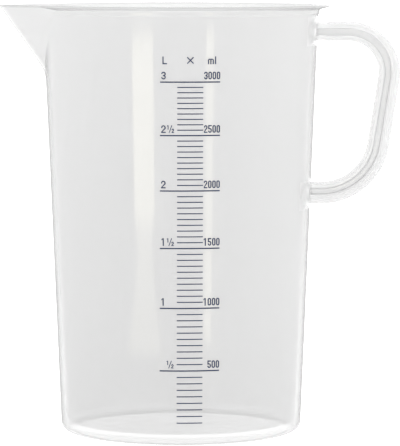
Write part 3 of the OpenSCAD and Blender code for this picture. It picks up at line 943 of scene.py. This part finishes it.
class MEASURINGJUG_OT_handle(bpy.types.Operator):
    """Make the loop handle with its two flanges and web."""

    bl_idname = "measuring_jug.handle"
    bl_label = "Loop handle"

    def execute(self, context):
        piece = make_handle(context.scene)
        for name in HANDLE_MATERIALS:
            piece.data.materials.append(bpy.data.materials[name])
        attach(piece, "root")
        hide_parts("handle_outer_flange", "handle_inner_flange", "handle_web")
        return {"FINISHED"}


class MEASURINGJUG_OT_finishes(bpy.types.Operator):
    """Make the milky plastic and the ink, and ink the printed scale."""

    bl_idname = "measuring_jug.finishes"
    bl_label = "Finishes and printed scale"

    def execute(self, context):
        finish = context.scene.jug_finishes
        plain, edge, soft_edge = (1, 1, 1), finish.edge_tint, finish.thick_edge_tint
        thick, web, base = finish.thick_plastic, finish.web_painted_shade, finish.base_plastic
        foot, rim = finish.foot_plastic, finish.rim_and_foot_painted_shade
        for name, high, low, clear, edge_tint in (
            ("thin_milky_moulding", finish.plastic, finish.low_plastic, finish.clear, edge),
            ("milky_inside", finish.plastic, finish.low_plastic, finish.clear, plain),
            ("milky_base", base, base, finish.base_clear, plain),
            ("milky_roots", thick, thick, finish.thick_clear, plain),
            ("milky_foot", foot, foot, finish.foot_clear, soft_edge),
            # The rim's darker colour is painted shade on its edge and a painted contact shadow on
            # the foot
            ("milky_painted_shade", rim, rim, finish.rim_clear, plain),
            ("thick_milky_moulding", thick, thick, finish.thick_clear, soft_edge),
            # The web's darker colour is painted shade for the handle's channel
            ("milky_web_painted_shade", web, web, finish.web_clear, edge),
        ):
            milky_plastic(context.scene, name, high, low, clear, edge_tint)
        ink = printed_ink(context.scene)
        for node in (
            "half_litre_lines",
            "fifty_ml_lines",
            "litre_numerals",
            "millilitre_numerals",
            "unit_symbols",
        ):
            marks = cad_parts[node]
            for slot in marks.material_slots:
                slot.material = ink
        return {"FINISHED"}


class MEASURINGJUG_OT_studio(bpy.types.Operator):
    """Set the camera, the pale floor and the soft lights."""

    bl_idname = "measuring_jug.studio"
    bl_label = "Camera, floor and light"

    def execute(self, context):
        scene = context.scene
        studio = scene.jug_studio
        data = bpy.data.cameras.new("photo_camera")
        data.sensor_fit = "VERTICAL"
        data.sensor_height = 36.0
        data.lens = studio.lens
        data.clip_end = 100.0
        camera = bpy.data.objects.new("photo_camera", data)
        scene.collection.objects.link(camera)
        camera.location = (0.0, -studio.camera_distance, studio.camera_height)
        camera.rotation_euler = (math.pi / 2 - studio.camera_pitch, 0.0, -studio.camera_yaw)
        scene.camera = camera
        mesh = bpy.data.meshes.new("studio_floor")
        mesh.from_pydata(FLOOR_CORNERS, [], [(0, 1, 2, 3)])
        floor = bpy.data.objects.new("studio_floor", mesh)
        scene.collection.objects.link(floor)
        floor.data.materials.append(studio_floor(scene))
        studio_world(scene)
        upright, flat = math.pi / 2, math.pi
        left_turn, right_turn = -studio.left_turn, studio.right_turn
        left_size = (studio.left_width, studio.left_height)
        right_size = (studio.right_width, studio.right_height)
        sheen_size = (studio.sheen_width, studio.sheen_length)
        sheen_middle = studio.left_distance - studio.sheen_length / 2
        for name, place, tilt, turn, size, brightness in (
            (
                "left_lamp",
                beside_jug(studio.left_distance, left_turn, studio.left_height / 2),
                upright,
                left_turn,
                left_size,
                studio.left_light,
            ),
            (
                "left_sheen",
                beside_jug(sheen_middle, left_turn, FLOOR_GAP),
                flat,
                left_turn,
                sheen_size,
                studio.sheen_light,
            ),
            (
                "right_lamp",
                beside_jug(studio.right_distance, right_turn, studio.right_height / 2),
                upright,
                right_turn,
                right_size,
                studio.right_light,
            ),
        ):
            soft_lamp(name, place, tilt, turn, size, brightness, studio.lamp_tint)
        scene.view_settings.view_transform = "Standard"
        return {"FINISHED"}


class MEASURINGJUG_PT_panel(bpy.types.Panel):
    """Lists the sizes and the steps."""

    bl_label = "Measuring jug"
    bl_idname = "MEASURINGJUG_PT_panel"
    bl_space_type = "VIEW_3D"
    bl_region_type = "UI"
    bl_category = "Measuring jug"

    def draw(self, context):
        for group, kind in GROUPS.items():
            box = self.layout.box()
            box.label(text=kind.__doc__)
            for name in kind.__annotations__:
                box.prop(getattr(context.scene, group), name)
        for operator in OPERATORS:
            self.layout.operator(operator.bl_idname)


OPERATORS = (
    MEASURINGJUG_OT_finishes,
    MEASURINGJUG_OT_body,
    MEASURINGJUG_OT_handle,
    MEASURINGJUG_OT_studio,
)


def register():
    for kind in (*GROUPS.values(), *OPERATORS, MEASURINGJUG_PT_panel):
        bpy.utils.register_class(kind)
    for group, kind in GROUPS.items():
        setattr(bpy.types.Scene, group, PointerProperty(type=kind))


def unregister():
    for group in GROUPS:
        delattr(bpy.types.Scene, group)
    for kind in reversed((*GROUPS.values(), *OPERATORS, MEASURINGJUG_PT_panel)):
        bpy.utils.unregister_class(kind)


def main():
    register()
    bpy.ops.measuring_jug.finishes()
    bpy.ops.measuring_jug.body()
    bpy.ops.measuring_jug.handle()
    bpy.ops.measuring_jug.studio()
    bpy.context.view_layer.update()


if __name__ == "__main__":
    main()
